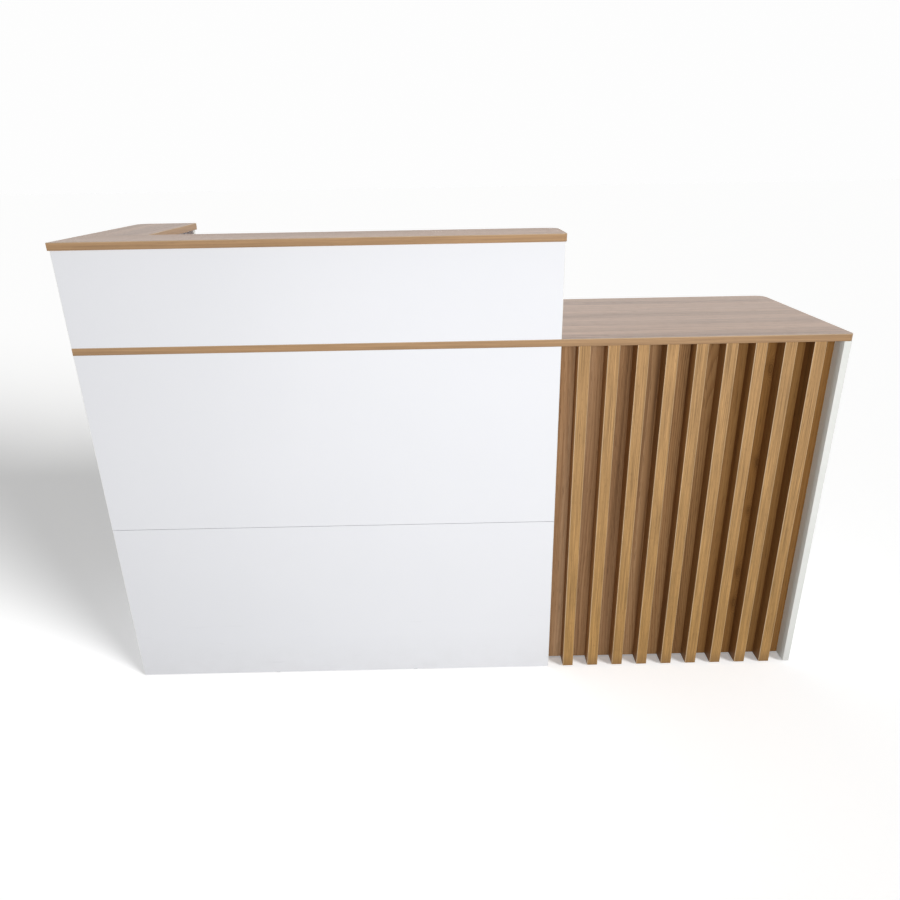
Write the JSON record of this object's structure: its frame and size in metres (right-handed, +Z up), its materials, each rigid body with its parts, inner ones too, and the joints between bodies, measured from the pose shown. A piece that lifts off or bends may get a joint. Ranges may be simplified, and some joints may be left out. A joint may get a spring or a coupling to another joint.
{
  "type": "service counter",
  "caption": "Reception counter with white fronts, an oak worktop, a raised oak ledge that turns the corner and a low end clad in upright oak slats.",
  "frame": {"origin": "on the floor, at the centre of the counter's box in plan", "axes": "+X to the right as the customer sees the counter, +Y from the customer's front to the staff's side, +Z up"},
  "size_m": [1.606, 0.493, 1.02],
  "materials": {
    "white_board": "white melamine on chipboard, satin",
    "white_edging": "white edge band, satin",
    "oak_worktop": "oak decor on chipboard, matt, grain along X",
    "oak_ledge": "oak decor on chipboard, matt, grain along X",
    "oak_ledge_return": "oak decor on chipboard, matt, grain along Y",
    "oak_edging": "oak pattern edge band, satin",
    "oak_slats": "oak decor on chipboard, matt, grain along Z",
    "slat_edging": "golden oak pattern edge band, satin",
    "oak_back_panel": "oak decor on chipboard, matt, grain along Z",
    "bracket_steel": "bright zinc plate",
    "screw_steel": "pale yellow zinc plate",
    "pin_steel": "nickel plate",
    "dowel_wood": "plain beech",
    "glide_plastic": "pale grey plastic"
  },
  "bodies": {
    "root": {"left_side_panel": "white_board", "divider_panel": "white_board", "right_end_panel": "white_board", "lower_front_panel": "white_board", "middle_front_panel": "white_board", "upper_front_panel": "white_board", "upper_side_panel": "white_board", "ledge_support_middle": "white_board", "ledge_support_right": "white_board", "ledge_support_rear": "white_board", "seam_rail": "white_board", "bottom_rail": "white_board", "base_board": "white_board", "plinth_rail": "white_board", "shelf": "white_board", "white_edge_bands": "white_edging", "worktop": "oak_worktop", "ledge_front_board": "oak_ledge", "ledge_return_board": "oak_ledge_return", "worktop_edge_band": "oak_edging", "ledge_edge_band": "oak_edging", "slat_1": "oak_slats", "slat_2": "oak_slats", "slat_3": "oak_slats", "slat_4": "oak_slats", "slat_5": "oak_slats", "slat_6": "oak_slats", "slat_7": "oak_slats", "slat_8": "oak_slats", "slat_9": "oak_slats", "slat_edge_bands": "slat_edging", "slat_back_panel": "oak_back_panel", "angle_brackets": "bracket_steel", "bracket_screws": "screw_steel", "slat_screws": "screw_steel", "rail_screws": "screw_steel", "shelf_pins": "pin_steel", "ledge_dowels": "dowel_wood", "floor_glides": "glide_plastic"}
  },
  "joints": []
}
